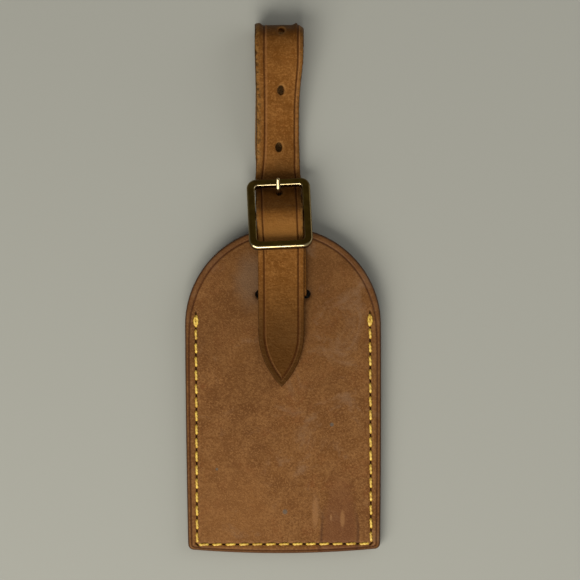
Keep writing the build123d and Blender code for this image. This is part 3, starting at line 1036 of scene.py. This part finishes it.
def panel_material():
    shader = Shader("panel_leather_look")
    colour = leather_base(shader, *PANEL_TONES)
    wobble = shader.span(shader.noise(110, 3.0, 0.6), 0.2, 0.8, -0.22, 0.22)
    colour = stained(shader, colour, shader.span(shader.noise(60, 2.0, 0.5), 0.25, 0.75, -0.1, 0.1))
    # Painted shade: the tag darker towards its arch, away from the light, which comes from the bottom left.
    arch_shade = near_point(shader, on_tag(4.0, 92.0), (0.040, 0.054, 0.05), wobble)
    colour = shader.blend(shader.span(arch_shade, 0.3, 1.2, 0.52, 0.0), colour, ARCH_SHADE_COLOUR)
    # Painted light: the lower left of the tag lighter, nearest the light.
    lower_left_light = near_point(shader, on_tag(-15.0, 13.0), (0.017, 0.022, 0.03), wobble)
    colour = shader.blend(shader.span(lower_left_light, 0.2, 1.2, 0.3, 0.0), colour, LOWER_LEFT_LIGHT_COLOUR)
    sheen = near_point(shader, on_tag(-9.5, 84.0), (0.0060, 0.0095, 0.02), wobble)
    colour = shader.blend(shader.span(sheen, 0.3, 1.2, 0.42, 0.0), colour, SHEEN_COLOUR)
    # Painted sheen: soft greyish lighter mottling over the face.
    mottled_sheen = shader.span(shader.noise(70, 4.0, 0.7, 0.6), 0.54, 0.72, 0.0, 0.45)
    colour = shader.blend(mottled_sheen, colour, MOTTLED_SHEEN_COLOUR)
    for x, y, size in SPECKS:
        speck = near_point(shader, on_tag(x, y), (size, size, 0.02), 0.0)
        colour = shader.blend(shader.span(speck, 0.5, 1.1, 0.7, 0.0), colour, SPECK_COLOUR)
    creased = shader.times(shader.mask("crease"), 0.85)
    colour = shader.blend(creased, colour, PANEL_CREASE_COLOUR)
    # Painted shade in the stitch holes.
    colour = shader.blend(shader.mask("pit"), colour, STITCH_HOLE_SHADE_COLOUR)
    band = shader.times(shader.mask("band"), 0.34)
    colour = shader.blend(band, colour, BAND_COLOUR)
    burnish = shader.times(shader.span(shader.mask("edge"), 0.05, 0.85), 0.9)
    colour = shader.blend(burnish, colour, BURNISH_COLOUR)
    slot_rim = shader.times(shader.mask("rim"), 0.75)
    colour = shader.blend(slot_rim, colour, SLOT_RIM_COLOUR)
    roughness = shader.span(shader.noise(380, 3.0, 0.6), 0.25, 0.75, 0.46, 0.62)
    shader.set("Specular IOR Level", 0.28)
    shader.set("Specular Tint", (1.0, 0.78, 0.5))
    return shader.finish(colour, roughness, grain_normal(shader, 0.00012))


def strap_material():
    shader = Shader("strap_leather_look")
    colour = leather_base(shader, *STRAP_TONES)
    wrinkles = shader.span(shader.noise(620, 4.0, 0.6, 0.5, (0.6, 1.9, 1.0)), 0.46, 0.6)
    colour = shader.blend(shader.times(wrinkles, 0.42), colour, WRINKLE_COLOUR)
    # Painted light on the strap's lower half inside the buckle.
    pale = shader.times(shader.mask("pale"), 0.75)
    colour = shader.blend(pale, colour, LIT_HALF_COLOUR)
    # Darkening: oil patina near the tip, and painted shade by the frame and on the fold's top.
    oiled = shader.times(shader.mask("oiled"), 0.94)
    colour = shader.blend(oiled, colour, OIL_AND_SHADE_COLOUR)
    fibres = shader.span(shader.noise(2600, 5.0, 0.8), 0.3, 0.7)
    suede = shader.blend(fibres, *SUEDE_TONES)
    colour = shader.blend(shader.mask("flesh"), colour, suede)
    nap = shader.span(shader.noise(1100, 4.0, 0.75), 0.38, 0.62)
    worn = shader.times(shader.mask("worn"), nap)
    colour = shader.blend(worn, colour, WORN_COLOUR)
    # Painted highlight beside each crease.
    ridge = shader.times(shader.mask("ridge"), 0.5)
    colour = shader.blend(ridge, colour, RIDGE_HIGHLIGHT_COLOUR)
    scrapes = shader.span(shader.noise(800, 4.0, 0.75), 0.46, 0.6)
    scraped = shader.times(shader.mask("worn"), scrapes)
    colour = shader.blend(scraped, colour, SCRAPED_COLOUR)
    creased = shader.times(shader.mask("crease"), 0.95)
    colour = shader.blend(creased, colour, STRAP_CREASE_COLOUR)
    scuff = shader.span(shader.noise(1600, 4.0, 0.7), 0.35, 0.7, 0.25, 0.75)
    colour = shader.blend(shader.times(shader.mask("edge"), scuff), colour, STRAP_EDGE_COLOUR)
    # Painted highlight on the lit side of each hole.
    ring = shader.times(shader.mask("rim"), 0.6)
    colour = shader.blend(ring, colour, HOLE_RIM_HIGHLIGHT_COLOUR)
    roughness = shader.span(shader.noise(420, 3.0, 0.6), 0.25, 0.75, 0.44, 0.6)
    shader.set("Specular IOR Level", 0.24)
    shader.set("Specular Tint", (1.0, 0.7, 0.3))
    wrinkled = shader.bump(shader.noise(620, 4.0, 0.6, 0.5, (0.6, 1.9, 1.0)), 0.0003, 0.6)
    cells = shader.bump(shader.voronoi(2300), 0.0001, 0.5, wrinkled)
    return shader.finish(colour, roughness, shader.bump(shader.noise(3400, 3.0, 0.6), 0.0001, 0.5, cells))


def thread_material():
    shader = Shader("waxed_thread_look")
    tone = shader.span(shader.noise(900, 3.0, 0.6), 0.3, 0.7)
    colour = shader.blend(tone, *THREAD_TONES)
    dirt = shader.span(shader.noise(160, 3.0, 0.6), 0.5, 0.75, 0.0, 0.45)
    colour = shader.blend(dirt, colour, THREAD_DIRT_COLOUR)
    normal = shader.bump(shader.noise(5200, 2.0, 0.6), 0.00006, 0.6)
    shader.set("Specular IOR Level", 0.65)
    return shader.finish(colour, 0.42, normal)


def brass_material():
    """Brass dark on its faces, as tarnish and as a painted reflection of dark surroundings, and bright on its
    edges, as rubbed wear and a painted highlight.
    """
    shader = Shader("aged_brass_look")
    shader.set("Metallic", 1.0)
    tone = shader.span(shader.noise(300, 4.0, 0.7), 0.35, 0.7)
    # Dark faces: tarnish, made darker as a painted reflection of dark surroundings.
    dark = shader.blend(tone, *DARK_BRASS_TONES)
    bright = shader.blend(tone, *BRIGHT_BRASS_TONES)
    # Bright edges: rubbed wear and painted highlight.
    rubbed_and_lit_edge = shader.mask("edge")
    colour = shader.blend(rubbed_and_lit_edge, dark, bright)
    spots = shader.span(shader.noise(900, 5.0, 0.75), 0.62, 0.72, 0.0, 0.25)
    colour = shader.blend(spots, colour, BRASS_SPOT_COLOUR)
    roughness = shader.span(shader.noise(700, 4.0, 0.7), 0.3, 0.75, 0.12, 0.24)
    normal = shader.bump(shader.noise(700, 2.0, 0.5), 0.00001, 0.3)
    return shader.finish(colour, roughness, normal)


def card_material():
    shader = Shader("name_card_look")
    fibres = shader.span(shader.noise(1800, 5.0, 0.7), 0.3, 0.7)
    colour = shader.blend(fibres, *CARD_TONES)
    age = shader.span(shader.noise(45, 3.0, 0.6), 0.4, 0.8, 0.0, 0.45)
    colour = shader.blend(age, colour, CARD_AGE_COLOUR)
    return shader.finish(colour, 0.8, shader.bump(fibres, 0.00004, 0.5))


def window_material():
    shader = Shader("clear_window_look")
    shader.set("Transmission Weight", 0.9)
    shader.set("IOR", 1.45)
    tint = shader.span(shader.noise(60, 3.0, 0.6), 0.3, 0.7)
    colour = shader.blend(tint, *WINDOW_TONES)
    scratches = shader.span(shader.noise(700, 6.0, 0.8, 2.5), 0.45, 0.75, 0.06, 0.3)
    return shader.finish(colour, scratches, shader.bump(shader.noise(90, 2.0, 0.5), 0.0001, 0.2))


def floor_material():
    return Shader("floor_look").finish(FLOOR_COLOUR, 0.9)


def dress(obj, material):
    obj.data.materials.clear()
    obj.data.materials.append(material)


# -------- put together

# Floor and camera, in metres
FLOOR_HALF = 1.5
CAMERA_PLACE = (0.0022, -0.0005, 0.9)
CAMERA_TURN = math.radians(-0.3)
SEEN_WIDTH = 0.1785


def add_piece(obj, body, nodes, material):
    dress(finish_edges(obj), material)
    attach(obj, body)
    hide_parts(*nodes)


def build_object():
    panel_look, strap_look = panel_material(), strap_material()
    thread_look, brass_look = thread_material(), brass_material()
    add_piece(front_panel(), "tag", ["front_panel"], panel_look)
    add_piece(back_panel(), "tag", ["back_panel"], panel_look)
    front_thread = seam_thread("front_thread", FRONT_THREAD_Z, 1)
    add_piece(front_thread, "tag", ["front_seam_thread"], thread_look)
    back_thread = seam_thread("back_thread", BACK_THREAD_Z, -1)
    add_piece(back_thread, "tag", ["back_seam_thread"], thread_look)
    add_piece(strap(), "strap_loop", ["strap"], strap_look)
    add_piece(end_stitches(), "strap_loop", ["strap_end_stitching"], thread_look)
    add_piece(buckle_frame(), "frame", ["buckle_frame"], brass_look)
    add_piece(prong(), "tongue", ["prong"], brass_look)
    dress(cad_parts["name_card"], card_material())
    dress(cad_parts["window_sheet"], window_material())


def add_floor():
    half = FLOOR_HALF
    mesh = bpy.data.meshes.new("floor")
    corners = [(-half, -half, 0), (half, -half, 0), (half, half, 0), (-half, half, 0)]
    mesh.from_pydata(corners, [], [(0, 1, 2, 3)])
    floor = link("floor", mesh)
    dress(floor, floor_material())


def add_light(name, place_m, size, power, colour):
    data = bpy.data.lights.new(name, "AREA")
    data.shape = "RECTANGLE"
    data.size, data.size_y = size
    data.energy = power
    data.color = colour
    lamp = link(name, data)
    lamp.location = place_m
    lamp.rotation_euler = (-Vector(place_m)).to_track_quat("-Z", "Y").to_euler()


def add_studio():
    add_light("window_side", (-0.28, -0.64, 0.62), (0.9, 0.75), 11.0, (1.0, 0.96, 0.89))
    add_light("fill", (0.62, 0.22, 0.42), (0.6, 0.6), 1.3, (1.0, 0.98, 0.95))
    world = bpy.data.worlds.new("studio")
    world.use_nodes = True
    background = world.node_tree.nodes["Background"]
    background.inputs["Color"].default_value = (1.0, 0.98, 0.94, 1)
    background.inputs["Strength"].default_value = 0.28
    bpy.context.scene.world = world
    bpy.context.scene.view_settings.view_transform = "Standard"


def add_camera():
    """Straight above the object, framed a little left of its middle."""
    data = bpy.data.cameras.new("camera")
    camera = link("camera", data)
    data.angle = 2 * math.atan(SEEN_WIDTH / 2 / CAMERA_PLACE[2])
    data.clip_start = 0.01
    camera.location = CAMERA_PLACE
    camera.rotation_euler = (0, 0, CAMERA_TURN)
    bpy.context.scene.camera = camera


build_object()
add_floor()
add_studio()
add_camera()
bpy.context.view_layer.update()
